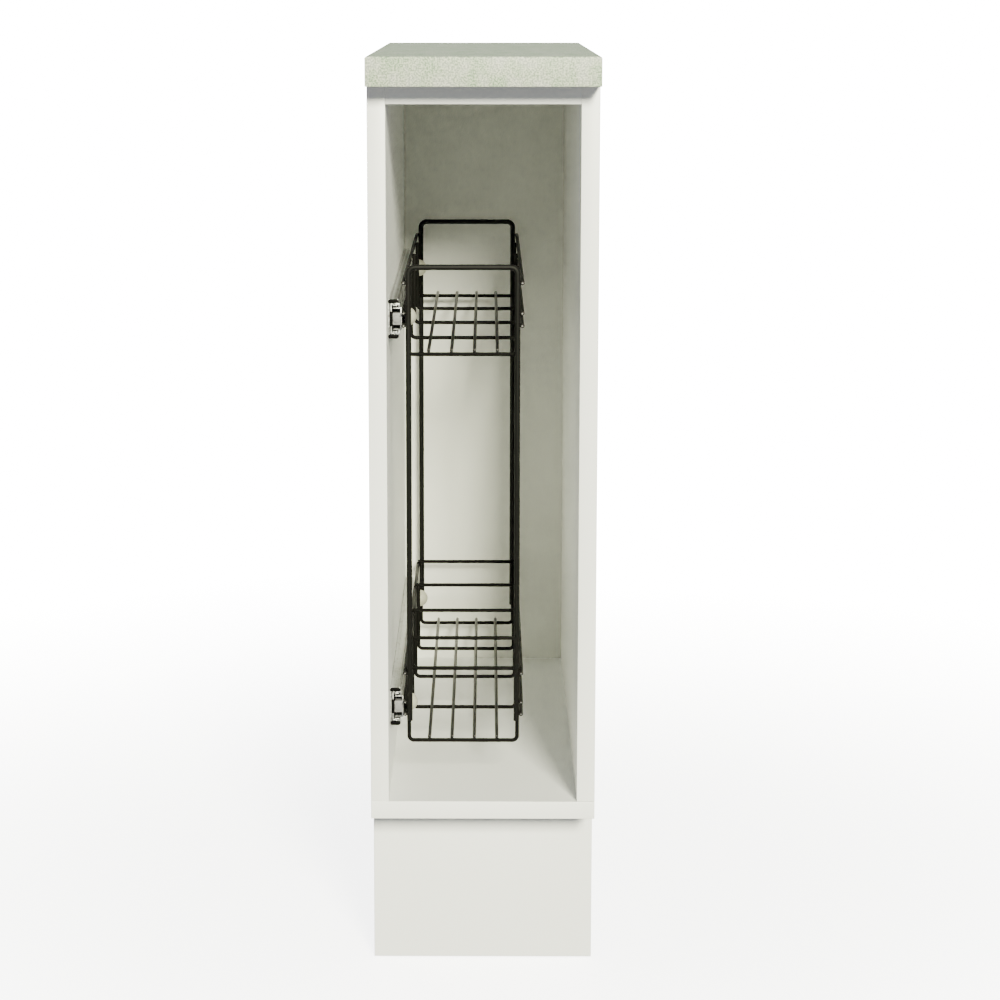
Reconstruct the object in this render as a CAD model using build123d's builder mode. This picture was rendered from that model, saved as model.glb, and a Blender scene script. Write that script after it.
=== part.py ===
"""Narrow spice cabinet: an open base unit with a two-tier wire pull-out on telescopic slides.

Millimetres, +Z up, the open front faces -Y, and the origin is under the middle of the worktop.
"""

import os

from build123d import *

os.makedirs("parts", exist_ok=True)

# Carcass and worktop
cabinet_width = 200
carcass_depth = 550
carcass_height = 650
board = 16
worktop_depth = 600
worktop_thickness = 25
worktop_overhang = 36
worktop_edge = 1
rail_width = 100
back_thickness = 3
back_inset = 7
groove_depth = 6
back_play = 0.5
slip = 0.1

# Base
plinth_height = 150
plinth_setback = 55
plinth_floor_gap = 1
leg_inset = 44
front_leg_behind_plinth = 41
rear_leg_inset = 60
leg_plate = 56
leg_plate_thickness = 4
leg_column = 30
leg_rib_reach = 25
leg_rib_drop = 24
leg_rib_wall = 2.4
leg_spigot = 10
leg_spigot_height = 12
moulded_sides = 12
wrench_sides = 6
leg_clearance = 40
leg_bore_depth = 82
foot_base = 46
foot_base_height = 6
foot_collar = 24
foot_collar_height = 14
foot_stem = 16
foot_stem_reach = 60
clip_height = 25
clip_rise = 65
clip_wall = 3
clip_overlap = 10

# Fasteners
dowel = 8
dowel_in_side = 10
dowel_in_rail = 20
screw = 4
screw_head = 8
screw_head_height = 2
worktop_screw_bite = 14
wall_screw_bite = 12
wall_screw_head_height = 0.6
confirmat_head = 10
confirmat_head_height = 3
confirmat_shank = 7
confirmat_thread = 5
confirmat_bite = 34
confirmat_inset = 30

# Telescopic slides
slide_height = 35
slide_thickness = 12
sheet = 1.2
bend = 1.3
web_gap = 0.8
lip_step = 1
basket_tip_gap = 1.4
race_gap = 2.5
ball = 3.2
ball_play = 0.2
running_gap = 0.5
cage_length = 200
cage_thickness = 1
cage_side_gap = 0.9
cage_balls = 3
cage_window_play = 0.1
stop_length = 7
stop_clearance = 0.3
stop_plate = 1
tab_height = 1.4
bumper_length = 5.7
bumper_height = 12
end_cap_length = 8
end_cap_height = 10.5
end_cap_plate = 1
end_cap_boss = 6.4
end_cap_boss_rise = 1.2
buffer_width = 2
buffer_height = 13
buffer_rise = 1
wall_screw_inset = 50

# Wire pull-out
pullout_setback = 40
pullout_rear_gap = 20
frame_rod = 5
frame_width = 96.2
frame_bend = 6
frame_top_rise = 46.1
frame_leg_drop = 12
wire = 3.5
floor_wire = 3
wire_bend = 4.25
lower_slide_rise = 76
slide_spacing = 352.5
pair_spacing = 11
basket_floor_drop = 31.3
basket_rail_rise = 32.3
rib_proud = 1.25
rib_count = 5
floor_wire_count = 4
floor_wire_pitch = 20.3
floor_wire_overhang = 3
slide_end_inset = 5
clamp_inset = 23
clamp_disc = 17.5
clamp_disc_height = 6
clamp_disc_taper = 28
clamp_disc_sides = 24
clamp_screw_bite = 4

# Places worked out from the sizes above
half_width = cabinet_width / 2
inner_half = half_width - board
front_y = worktop_overhang - worktop_depth / 2
rear_y = front_y + carcass_depth
middle_y = (front_y + rear_y) / 2
back_rear_y = rear_y - back_inset
back_front_y = back_rear_y - back_thickness
back_middle_y = (back_front_y + back_rear_y) / 2
floor_top = plinth_height + board
carcass_top = plinth_height + carcass_height
rail_bottom = carcass_top - board
rail_middle_z = carcass_top - board / 2
front_rail_y = front_y + rail_width / 2
rear_rail_y = back_front_y - rail_width / 2
rail_dowel_ys = [y + sign * rail_width / 4 for y in (front_rail_y, rear_rail_y) for sign in (-1, 1)]
rail_dowel_spots = [(y, rail_middle_z) for y in rail_dowel_ys]
worktop_screw_spots = [(sign * inner_half / 2, y) for y in (front_rail_y, rear_rail_y) for sign in (-1, 1)]
confirmat_x = half_width - board / 2
confirmat_ys = (front_y + confirmat_inset, rear_y - confirmat_inset)
confirmat_spots = [(sign * confirmat_x, y) for sign in (-1, 1) for y in confirmat_ys]

plinth_front_y = front_y + plinth_setback
plinth_rear_y = plinth_front_y + board
leg_x = half_width - leg_inset
leg_ys = {"front": plinth_rear_y + front_leg_behind_plinth, "rear": rear_y - rear_leg_inset}
leg_signs = {"left": -1, "right": 1}
leg_spots = [(sign * leg_x, y) for y in leg_ys.values() for sign in leg_signs.values()]
leg_plate_bottom = plinth_height - leg_plate_thickness

wall_x = -inner_half
pullout_front_y = front_y + pullout_setback
pullout_rear_y = back_front_y - pullout_rear_gap
slide_front_y = pullout_front_y + slide_end_inset
slide_rear_y = pullout_rear_y - slide_end_inset
slide_middle_y = (slide_front_y + slide_rear_y) / 2
slide_length = slide_rear_y - slide_front_y
wall_screw_ys = (slide_front_y + wall_screw_inset, slide_rear_y - wall_screw_inset)
lower_slide_z = floor_top + lower_slide_rise
slide_zs = {"upper": lower_slide_z + slide_spacing, "lower": lower_slide_z}

# Nested slide channels: each starts behind the one outside it and leaves room for a row of balls
cabinet_half = slide_height / 2
middle_half = cabinet_half - sheet - race_gap
basket_half = middle_half - sheet - race_gap
outer_ball_rise = cabinet_half - sheet - race_gap / 2
inner_ball_rise = middle_half - sheet - race_gap / 2
basket_web_x = wall_x + slide_thickness - sheet
middle_web_x = wall_x + sheet + web_gap
middle_tip_x = basket_web_x - lip_step / 2
cabinet_tip_x = middle_tip_x - lip_step
basket_tip_x = middle_web_x + sheet + basket_tip_gap
outer_ball_x = (wall_x + cabinet_tip_x) / 2
inner_ball_x = (middle_web_x + middle_tip_x) / 2
outer_cage_width = cabinet_tip_x - wall_x - 2 * sheet - 2 * cage_side_gap
inner_cage_width = middle_tip_x - middle_web_x - 2 * sheet - 2 * cage_side_gap
race_radius = ball / 2 + ball_play
channel_lip = sheet + race_gap - running_gap
cage_ball_pitch = cage_length / cage_balls
buffer_x = middle_web_x + sheet / 2
cap_plate_left_x = buffer_x + buffer_width / 2 + running_gap
cap_plate_right_x = basket_web_x + sheet / 2
cap_plate_x = (cap_plate_left_x + cap_plate_right_x) / 2

# Wires: the left side wires lie on the slides, and everything else follows from them
left_wire_x = wall_x + slide_thickness + wire / 2
pullout_x = left_wire_x + wire / 2 + frame_rod / 2 + frame_width / 2
frame_half = frame_width / 2
wire_half = pullout_x - left_wire_x
rib_half = wire_half - wire
frame_top_z = slide_zs["upper"] + frame_top_rise
frame_leg_z = slide_zs["lower"] - frame_leg_drop
side_wire_front_y = pullout_front_y - frame_rod / 2
side_wire_rear_y = pullout_rear_y + frame_rod / 2
first_rib_y = pullout_front_y + frame_rod / 2 + wire / 2
last_rib_y = pullout_rear_y - frame_rod / 2 - wire / 2
rib_pitch = (last_rib_y - first_rib_y) / (rib_count - 1)
rib_ys = [first_rib_y + i * rib_pitch for i in range(rib_count)]
floor_wire_front_y = first_rib_y - wire / 2
floor_wire_rear_y = last_rib_y + wire / 2 + floor_wire_overhang
first_floor_wire_x = pullout_x - (floor_wire_count - 1) / 2 * floor_wire_pitch
floor_wire_xs = [first_floor_wire_x + i * floor_wire_pitch for i in range(floor_wire_count)]
side_wire_xs = (pullout_x - wire_half, pullout_x + wire_half)
clamp_ys = (pullout_front_y + clamp_inset, pullout_rear_y - clamp_inset)
clamp_base_x = left_wire_x + wire / 2


def across(y):
    """A plane square to the depth: its own x is width, its own y is height, and it faces the front."""
    return Plane(origin=(0, y, 0), x_dir=(1, 0, 0), z_dir=(0, -1, 0))


def sideways(x):
    """A plane square to the width: its own x is depth, its own y is height, and it faces right."""
    return Plane(origin=(x, 0, 0), x_dir=(0, 1, 0), z_dir=(1, 0, 0))


def rod_section(diameter):
    """Slender round stock is drawn with eight flats, so that crossing rods seat on each other."""
    RegularPolygon(diameter / 2, side_count=8, major_radius=False, rotation=22.5)


def moulded_section(diameter):
    """A moulded leg, foot or boss has twelve flats, one of them facing each side."""
    half_turn = 180 / moulded_sides
    RegularPolygon(diameter / 2, side_count=moulded_sides, major_radius=False, rotation=half_turn)


def rods(plane, spots, diameter, length, mode=Mode.ADD):
    """Straight rods, or the holes for them, from the spots on a plane."""
    with BuildSketch(plane) as sections:
        with Locations(*spots):
            rod_section(diameter)
    extrude(sections.sketch, amount=length, mode=mode)


def slab(center, size, mode=Mode.ADD):
    """A plain board or block about its centre."""
    with Locations(center):
        Box(*size, mode=mode)


def channel(web_x, tip_x, half_height, slide_z, lip):
    """The section of a roll-formed channel: web, two flanges, and lips turned in at the tips."""
    depth = abs(tip_x - web_x)
    side = Align.MIN if tip_x > web_x else Align.MAX
    toward_tip = sheet if tip_x > web_x else -sheet
    with Locations((web_x, slide_z)):
        Rectangle(depth, 2 * half_height, align=(side, Align.CENTER))
    with Locations((web_x + toward_tip, slide_z)):
        Rectangle(depth, 2 * (half_height - sheet), align=(side, Align.CENTER), mode=Mode.SUBTRACT)
    if lip:
        with Locations((tip_x, slide_z + half_height), (tip_x, slide_z - half_height + lip)):
            Rectangle(sheet, lip, align=(Align.MAX, Align.MAX))


def outer_corners(profile, half_height, slide_z):
    """The corners of a channel's section that lie on its top and its bottom."""
    return profile.vertices().filter_by(lambda v: abs(abs(v.Y - slide_z) - half_height) < slip)


def save(piece, name):
    piece.part.label = name
    export_step(piece.part, f"parts/{name}.step")


# Worktop
with BuildPart() as worktop:
    slab((0, 0, carcass_top + worktop_thickness / 2), (cabinet_width, worktop_depth, worktop_thickness))
    chamfer(worktop.faces().sort_by(Axis.Z)[-1].edges(), worktop_edge)
    rods(
        Plane.XY.offset(carcass_top),
        worktop_screw_spots,
        screw + 2 * slip,
        worktop_screw_bite + slip,
        Mode.SUBTRACT,
    )
save(worktop, "worktop")

# Side panels, grooved for the back and bored for the rails and, on the left, the slides
side_height = carcass_top - floor_top
for side, sign in leg_signs.items():
    panel_x = sign * (half_width - board / 2)
    inner_x = sign * inner_half
    bore_start_x = min(inner_x, inner_x + sign * (dowel_in_side + slip))
    with BuildPart() as side_panel:
        slab((panel_x, middle_y, floor_top + side_height / 2), (board, carcass_depth, side_height))
        slab(
            (inner_x, back_middle_y, floor_top + side_height / 2),
            (2 * groove_depth, back_thickness + 2 * slip, side_height),
            Mode.SUBTRACT,
        )
        rods(
            sideways(bore_start_x),
            rail_dowel_spots,
            dowel + 2 * slip,
            dowel_in_side + slip,
            Mode.SUBTRACT,
        )
        rods(
            Plane.XY.offset(floor_top),
            [spot for spot in confirmat_spots if spot[0] * sign > 0],
            confirmat_thread + 2 * slip,
            confirmat_bite + slip,
            Mode.SUBTRACT,
        )
        if side == "left":
            rods(
                sideways(wall_x - wall_screw_bite - slip),
                [(y, z) for y in wall_screw_ys for z in slide_zs.values()],
                screw + 2 * slip,
                wall_screw_bite + slip,
                Mode.SUBTRACT,
            )
    save(side_panel, f"{side}_side_panel")

# Bottom panel, under both sides
with BuildPart() as bottom_panel:
    slab((0, middle_y, plinth_height + board / 2), (cabinet_width, carcass_depth, board))
    slab(
        (0, back_middle_y, floor_top),
        (2 * (inner_half + groove_depth), back_thickness + 2 * slip, 2 * groove_depth),
        Mode.SUBTRACT,
    )
    rods(Plane.XY.offset(plinth_height), confirmat_spots, confirmat_shank + 2 * slip, board, Mode.SUBTRACT)
    rods(
        Plane.XY.offset(plinth_height),
        confirmat_spots,
        confirmat_head + 2 * slip,
        confirmat_head_height,
        Mode.SUBTRACT,
    )
    rods(
        Plane.XY.offset(plinth_height),
        leg_spots,
        leg_spigot + 2 * slip,
        leg_spigot_height + slip,
        Mode.SUBTRACT,
    )
save(bottom_panel, "bottom_panel")

# Top rails between the sides
for name, rail_y in {"front": front_rail_y, "rear": rear_rail_y}.items():
    with BuildPart() as top_rail:
        slab((0, rail_y, rail_middle_z), (2 * inner_half, rail_width, board))
        spots = [spot for spot in rail_dowel_spots if abs(spot[0] - rail_y) < rail_width / 2]
        for end_x in (-inner_half, inner_half - dowel_in_rail - slip):
            rods(sideways(end_x), spots, dowel + 2 * slip, dowel_in_rail + slip, Mode.SUBTRACT)
        rods(
            Plane.XY.offset(rail_bottom),
            [spot for spot in worktop_screw_spots if spot[1] == rail_y],
            screw + 2 * slip,
            board,
            Mode.SUBTRACT,
        )
    save(top_rail, f"{name}_top_rail")

# Back panel, slid down the grooves
back_half = inner_half + groove_depth - back_play
back_bottom = floor_top - groove_depth + back_play
with BuildPart() as back_panel:
    slab(
        (0, back_middle_y, (back_bottom + carcass_top) / 2),
        (2 * back_half, back_thickness, carcass_top - back_bottom),
    )
save(back_panel, "back_panel")

# Plinth, and the spring clips that hold it on the front legs
with BuildPart() as plinth_panel:
    slab(
        (0, (plinth_front_y + plinth_rear_y) / 2, (plinth_floor_gap + plinth_height) / 2),
        (cabinet_width, board, plinth_height - plinth_floor_gap),
    )
save(plinth_panel, "plinth_panel")

clip_inner_half = leg_column / 2 + slip
clip_rear_y = leg_ys["front"] + clip_overlap
with BuildPart() as plinth_clips:
    with BuildSketch(Plane.XY.offset(clip_rise)):
        with Locations((-leg_x, plinth_rear_y), (leg_x, plinth_rear_y)):
            Rectangle(
                2 * (clip_inner_half + clip_wall),
                clip_rear_y - plinth_rear_y,
                align=(Align.CENTER, Align.MIN),
            )
        with Locations((-leg_x, plinth_rear_y + clip_wall), (leg_x, plinth_rear_y + clip_wall)):
            Rectangle(
                2 * clip_inner_half,
                clip_rear_y - plinth_rear_y,
                align=(Align.CENTER, Align.MIN),
                mode=Mode.SUBTRACT,
            )
    extrude(amount=clip_height)
save(plinth_clips, "plinth_clips")

# Legs: a ribbed plate with a spigot pressed into the bottom panel, and a column bored for the foot
with BuildPart() as legs:
    with BuildSketch(Plane.XY.offset(leg_clearance)):
        with Locations(*leg_spots):
            moulded_section(leg_column)
    extrude(amount=leg_plate_bottom - leg_clearance)
    with BuildSketch(Plane.XY.offset(leg_plate_bottom)):
        with Locations(*leg_spots):
            Rectangle(leg_plate, leg_plate)
    extrude(amount=leg_plate_thickness)
    for spot_x, spot_y in leg_spots:
        for plane, middle in ((across(spot_y), spot_x), (sideways(spot_x), spot_y)):
            with BuildSketch(plane) as leg_ribs:
                with BuildLine():
                    Polyline(
                        (middle - leg_rib_reach, leg_plate_bottom),
                        (middle + leg_rib_reach, leg_plate_bottom),
                        (middle + leg_column / 2 - leg_rib_wall, leg_plate_bottom - leg_rib_drop),
                        (middle - leg_column / 2 + leg_rib_wall, leg_plate_bottom - leg_rib_drop),
                        close=True,
                    )
                make_face()
            extrude(leg_ribs.sketch, amount=leg_rib_wall / 2, both=True)
    rods(Plane.XY.offset(plinth_height), leg_spots, leg_spigot, leg_spigot_height)
    rods(Plane.XY.offset(leg_clearance), leg_spots, foot_stem + 2 * slip, leg_bore_depth, Mode.SUBTRACT)
save(legs, "legs")

# Levelling feet: a broad base, a six-sided collar for a wrench, and a stem up the leg
for end, foot_y in leg_ys.items():
    for side, sign in leg_signs.items():
        spot = (sign * leg_x, foot_y)
        collar_top = foot_base_height + foot_collar_height
        stem_length = leg_clearance - collar_top + foot_stem_reach
        with BuildPart() as foot:
            with BuildSketch():
                with Locations(spot):
                    moulded_section(foot_base)
            extrude(amount=foot_base_height)
            with BuildSketch(Plane.XY.offset(foot_base_height)):
                with Locations(spot):
                    RegularPolygon(foot_collar / 2, side_count=wrench_sides, major_radius=False)
            extrude(amount=foot_collar_height)
            rods(Plane.XY.offset(collar_top), [spot], foot_stem, stem_length)
        save(foot, f"{end}_{side}_foot")

# Fasteners of the carcass
with BuildPart() as rail_dowels:
    for start_x in (-inner_half - dowel_in_side, inner_half - dowel_in_rail):
        rods(sideways(start_x), rail_dowel_spots, dowel, dowel_in_side + dowel_in_rail)
save(rail_dowels, "rail_dowels")

with BuildPart() as carcass_screws:
    rods(Plane.XY.offset(plinth_height), confirmat_spots, confirmat_head, confirmat_head_height)
    rods(
        Plane.XY.offset(plinth_height + confirmat_head_height),
        confirmat_spots,
        confirmat_shank,
        board - confirmat_head_height,
    )
    rods(Plane.XY.offset(floor_top), confirmat_spots, confirmat_thread, confirmat_bite)
save(carcass_screws, "carcass_screws")

with BuildPart() as worktop_screws:
    heads_plane = Plane.XY.offset(rail_bottom - screw_head_height)
    rods(heads_plane, worktop_screw_spots, screw_head, screw_head_height)
    rods(Plane.XY.offset(rail_bottom), worktop_screw_spots, screw, board + worktop_screw_bite)
save(worktop_screws, "worktop_screws")

# Telescopic slides, one for each basket, screwed to the left side panel
cage_front_y = slide_middle_y - cage_length / 2
ball_ys = [cage_front_y + (i + 0.5) * cage_ball_pitch for i in range(cage_balls)]


def cut_races(ball_x, ball_rise, slide_z, rear_y, length):
    """Ball grooves along the top and the bottom of a channel."""
    with BuildSketch(across(rear_y)) as grooves:
        with Locations((ball_x, slide_z + ball_rise), (ball_x, slide_z - ball_rise)):
            Circle(race_radius)
    extrude(grooves.sketch, amount=length, mode=Mode.SUBTRACT)


for level, slide_z in slide_zs.items():
    screw_spots = [(y, slide_z) for y in wall_screw_ys]
    clamp_spots = [(y, slide_z) for y in clamp_ys]
    cabinet_member_rear_y = slide_rear_y + stop_clearance + bumper_length
    cabinet_member_length = cabinet_member_rear_y - slide_front_y

    with BuildPart() as cabinet_member:
        with BuildSketch(across(cabinet_member_rear_y)) as profile:
            channel(wall_x, cabinet_tip_x, cabinet_half, slide_z, channel_lip)
            fillet(outer_corners(profile, cabinet_half, slide_z), bend)
        extrude(amount=cabinet_member_length)
        cut_races(outer_ball_x, outer_ball_rise, slide_z, cabinet_member_rear_y, cabinet_member_length)
        rods(sideways(wall_x), screw_spots, screw + 2 * slip, sheet, Mode.SUBTRACT)
    save(cabinet_member, f"{level}_slide_cabinet_member")

    with BuildPart() as middle_member:
        with BuildSketch(across(slide_rear_y)) as profile:
            channel(middle_web_x, middle_tip_x, middle_half, slide_z, channel_lip)
            fillet(outer_corners(profile, middle_half, slide_z), bend)
        extrude(amount=slide_length)
        cut_races(outer_ball_x, outer_ball_rise, slide_z, slide_rear_y, slide_length)
        cut_races(inner_ball_x, inner_ball_rise, slide_z, slide_rear_y, slide_length)
    save(middle_member, f"{level}_slide_middle_member")

    with BuildPart() as basket_member:
        with BuildSketch(across(slide_rear_y)) as profile:
            channel(basket_web_x + sheet, basket_tip_x, basket_half, slide_z, 0)
            fillet(outer_corners(profile, basket_half, slide_z).sort_by(Axis.X)[-2:], bend)
        extrude(amount=slide_length)
        cut_races(inner_ball_x, inner_ball_rise, slide_z, slide_rear_y, slide_length)
        rods(sideways(basket_web_x), clamp_spots, screw + 2 * slip, sheet, Mode.SUBTRACT)
    save(basket_member, f"{level}_slide_basket_member")

    races = {
        "outer": (outer_ball_x, outer_ball_rise, outer_cage_width),
        "inner": (inner_ball_x, inner_ball_rise, inner_cage_width),
    }
    for race, (ball_x, ball_rise, cage_width) in races.items():
        row_zs = (slide_z - ball_rise, slide_z + ball_rise)
        with BuildPart() as cages:
            for row_z in row_zs:
                slab((ball_x, slide_middle_y, row_z), (cage_width, cage_length, cage_thickness))
                for ball_y in ball_ys:
                    window = ball + 2 * cage_window_play
                    slab((ball_x, ball_y, row_z), (window, window, cage_thickness), Mode.SUBTRACT)
        save(cages, f"{level}_slide_{race}_cages")

        with BuildPart() as balls:
            with Locations(*[(ball_x, ball_y, row_z) for ball_y in ball_ys for row_z in row_zs]):
                Box(ball, ball, ball)
            chamfer(balls.edges(), ball * (1 - 0.5**0.5))
        save(balls, f"{level}_slide_{race}_balls")

    with BuildPart() as race_stops:
        stop_height = race_gap - stop_clearance
        for sign in (-1, 1):
            slab(
                (
                    outer_ball_x,
                    slide_front_y + stop_length / 2,
                    slide_z + sign * (cabinet_half - sheet - stop_height / 2),
                ),
                (outer_cage_width, stop_length, stop_height),
            )
        with BuildSketch(across(slide_front_y)) as end_plates:
            with Locations(((wall_x + cabinet_tip_x) / 2, slide_z)):
                Rectangle(cabinet_tip_x - wall_x, 2 * cabinet_half)
                chamfer(end_plates.vertices(), bend)
                Rectangle(cabinet_tip_x - wall_x, 2 * (middle_half + stop_clearance), mode=Mode.SUBTRACT)
        extrude(end_plates.sketch, amount=stop_plate)
    save(race_stops, f"{level}_slide_race_stops")

    with BuildPart() as middle_stops:
        for sign in (-1, 1):
            slab(
                (
                    inner_ball_x,
                    slide_front_y + stop_length / 2,
                    slide_z + sign * (middle_half - sheet - tab_height / 2),
                ),
                (inner_cage_width, stop_length, tab_height),
            )
    save(middle_stops, f"{level}_slide_middle_stops")

    with BuildPart() as rear_bumper:
        bumper_depth = middle_tip_x - wall_x - sheet
        slab(
            (wall_x + sheet + bumper_depth / 2, cabinet_member_rear_y - bumper_length / 2, slide_z),
            (bumper_depth, bumper_length, bumper_height),
        )
    save(rear_bumper, f"{level}_slide_rear_bumper")

    with BuildPart() as end_cap:
        cap_depth = basket_web_x - basket_tip_x
        slab(
            (basket_web_x - cap_depth / 2, slide_front_y + end_cap_length / 2, slide_z),
            (cap_depth, end_cap_length, end_cap_height),
        )
        slab(
            (cap_plate_x, slide_front_y - end_cap_plate / 2, slide_z),
            (cap_plate_right_x - cap_plate_left_x, end_cap_plate, end_cap_height),
        )
        with BuildSketch(across(slide_front_y - end_cap_plate)) as boss:
            with Locations((cap_plate_x, slide_z)):
                moulded_section(end_cap_boss)
        extrude(boss.sketch, amount=end_cap_boss_rise)
    save(end_cap, f"{level}_slide_end_cap")

    with BuildPart() as front_buffer:
        slab(
            (buffer_x, slide_front_y - buffer_rise / 2, slide_z),
            (buffer_width, buffer_rise, buffer_height),
        )
    save(front_buffer, f"{level}_slide_front_buffer")

    with BuildPart() as wall_screws:
        rods(sideways(wall_x + sheet), screw_spots, screw_head, wall_screw_head_height)
        rods(sideways(wall_x - wall_screw_bite), screw_spots, screw, wall_screw_bite + sheet)
    save(wall_screws, f"{level}_slide_wall_screws")

    with BuildPart() as clamp_discs:
        with BuildSketch(sideways(clamp_base_x)):
            with Locations(*clamp_spots):
                RegularPolygon(clamp_disc / 2, side_count=clamp_disc_sides, major_radius=False)
        extrude(amount=clamp_disc_height, taper=clamp_disc_taper)
        rods(sideways(clamp_base_x), clamp_spots, screw + 2 * slip, clamp_screw_bite + slip, Mode.SUBTRACT)
    save(clamp_discs, f"{level}_clamp_discs")

    with BuildPart() as clamp_screws:
        rods(sideways(basket_web_x - screw_head_height), clamp_spots, screw_head, screw_head_height)
        rods(sideways(basket_web_x), clamp_spots, screw, clamp_base_x - basket_web_x + clamp_screw_bite)
    save(clamp_screws, f"{level}_clamp_screws")

# End frames of the pull-out: thick rod bent into an upside-down U
for name, frame_y in {"front": pullout_front_y, "rear": pullout_rear_y}.items():
    left_x = pullout_x - frame_half
    right_x = pullout_x + frame_half
    with BuildPart() as end_frame:
        with BuildLine(across(frame_y)) as frame_path:
            FilletPolyline(
                (left_x, frame_leg_z),
                (left_x, frame_top_z),
                (right_x, frame_top_z),
                (right_x, frame_leg_z),
                radius=frame_bend,
            )
        with BuildSketch(Plane(origin=(left_x, frame_y, frame_leg_z), x_dir=(0, 1, 0), z_dir=(0, 0, 1))):
            rod_section(frame_rod)
        sweep(path=frame_path.wire())
    save(end_frame, f"{name}_frame")

# Baskets: bent ribs, side wires outside them, floor wires on them, and dividers over the lower one
for level, slide_z in slide_zs.items():
    basket_floor_z = slide_z - basket_floor_drop
    basket_rail_z = slide_z + basket_rail_rise
    divider_z = basket_rail_z + wire
    rib_tops = {"upper": basket_rail_z + wire / 2 + rib_proud, "lower": divider_z - wire / 2}
    rib_top_z = rib_tops[level]
    left_x = pullout_x - rib_half
    right_x = pullout_x + rib_half

    with BuildPart() as ribs:
        for rib_y in rib_ys:
            with BuildLine(across(rib_y)) as rib_path:
                FilletPolyline(
                    (left_x, rib_top_z),
                    (left_x, basket_floor_z),
                    (right_x, basket_floor_z),
                    (right_x, rib_top_z),
                    radius=wire_bend,
                )
            with BuildSketch(Plane(origin=(left_x, rib_y, rib_top_z), x_dir=(0, 1, 0), z_dir=(0, 0, -1))):
                rod_section(wire)
            sweep(path=rib_path.wire())
    save(ribs, f"{level}_basket_ribs")

    with BuildPart() as side_wires:
        wire_zs = (slide_z - pair_spacing / 2, slide_z + pair_spacing / 2, basket_rail_z)
        rods(
            across(side_wire_rear_y),
            [(x, z) for x in side_wire_xs for z in wire_zs],
            wire,
            side_wire_rear_y - side_wire_front_y,
        )
    save(side_wires, f"{level}_basket_side_wires")

    with BuildPart() as floor_wires:
        floor_wire_z = basket_floor_z + wire / 2 + floor_wire / 2
        rods(
            across(floor_wire_rear_y),
            [(x, floor_wire_z) for x in floor_wire_xs],
            floor_wire,
            floor_wire_rear_y - floor_wire_front_y,
        )
    save(floor_wires, f"{level}_basket_floor_wires")

    if level == "lower":
        with BuildPart() as dividers:
            rods(
                sideways(pullout_x - wire_half),
                [(rib_y, divider_z) for rib_y in rib_ys],
                wire,
                2 * wire_half,
            )
        save(dividers, "lower_basket_dividers")
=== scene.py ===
# %% [markdown]
# # A narrow spice cabinet, dressed in Blender
#
# The object is a kitchen base unit only 200 mm wide. White melamine boards make the case, a piece
# of stone-look worktop closes it, and a black wire pull-out runs on two telescopic slides that are
# screwed to the left side. The construction is loaded as a fixed frame of solids in metres. This
# lesson gives those solids their finish, and models again, round and fine, every piece that the
# solids draw with flats.

# %% Load the frame
from math import cos, pi, radians, sin

import bmesh
import bpy
from mathutils import Matrix, Vector


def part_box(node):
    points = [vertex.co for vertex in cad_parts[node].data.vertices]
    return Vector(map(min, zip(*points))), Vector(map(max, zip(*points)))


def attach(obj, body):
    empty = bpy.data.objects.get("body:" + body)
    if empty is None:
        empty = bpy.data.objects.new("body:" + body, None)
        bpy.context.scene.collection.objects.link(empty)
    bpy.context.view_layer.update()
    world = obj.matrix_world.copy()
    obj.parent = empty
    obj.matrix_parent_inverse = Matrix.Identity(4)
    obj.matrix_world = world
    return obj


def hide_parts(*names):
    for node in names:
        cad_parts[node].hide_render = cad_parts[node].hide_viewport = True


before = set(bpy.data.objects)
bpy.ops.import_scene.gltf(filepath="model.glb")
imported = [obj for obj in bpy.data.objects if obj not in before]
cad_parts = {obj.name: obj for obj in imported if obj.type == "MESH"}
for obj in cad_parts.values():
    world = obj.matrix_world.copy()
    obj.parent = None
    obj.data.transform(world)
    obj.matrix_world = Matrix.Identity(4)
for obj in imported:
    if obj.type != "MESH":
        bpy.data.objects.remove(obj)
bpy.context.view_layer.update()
LEVELS = ("upper", "lower")
X, Y, Z = Vector((1, 0, 0)), Vector((0, 1, 0)), Vector((0, 0, 1))

# %% [markdown]
# ## From a bmesh to a piece
#
# Every piece below is shaped as a bmesh, which is Blender's editable mesh. The tools of edit mode
# could make the same shapes, but they work on what is selected, and a bmesh needs no selection. When
# its shape is done it becomes an object with its finishes, rides on the body that carries it, and
# stands for the solid that it was modelled after. Round walls are shaded smooth, and only edges
# sharper than a limit stay crisp.

# %% The helper that finishes a piece
CRISP_ANGLE = radians(35)


def piece(name, bm, body, finishes, stands_for=()):
    """Turns a shaped bmesh into an object that rides on a body."""
    for edge in bm.edges:
        if len(edge.link_faces) == 2:
            edge.smooth = edge.calc_face_angle(0) < CRISP_ANGLE
    for face in bm.faces:
        face.smooth = True
    mesh = bpy.data.meshes.new(name)
    bm.to_mesh(mesh)
    bm.free()
    for finish in finishes:
        mesh.materials.append(finish)
    made = bpy.data.objects.new(name, mesh)
    bpy.context.scene.collection.objects.link(made)
    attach(made, body)
    if stands_for:
        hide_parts(*stands_for)
    print(name, "faces:", len(mesh.polygons))
    return made


# %% [markdown]
# ## Finishes
#
# A finish is a Principled shader whose colour, roughness and height come from a pattern in Object
# coordinates. Photographs of the materials could be laid on as images, but a pattern needs no file,
# has no seams, and keeps one real size on every piece, because Object coordinates are in metres.

# %% A new finish, and a pattern for it
def new_finish(name, color, roughness, metallic=0.0):
    finish = bpy.data.materials.new(name)
    finish.use_nodes = True
    shader = finish.node_tree.nodes["Principled BSDF"]
    shader.inputs["Base Color"].default_value = (*color, 1)
    shader.inputs["Roughness"].default_value = roughness
    shader.inputs["Metallic"].default_value = metallic
    return finish, shader


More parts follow.
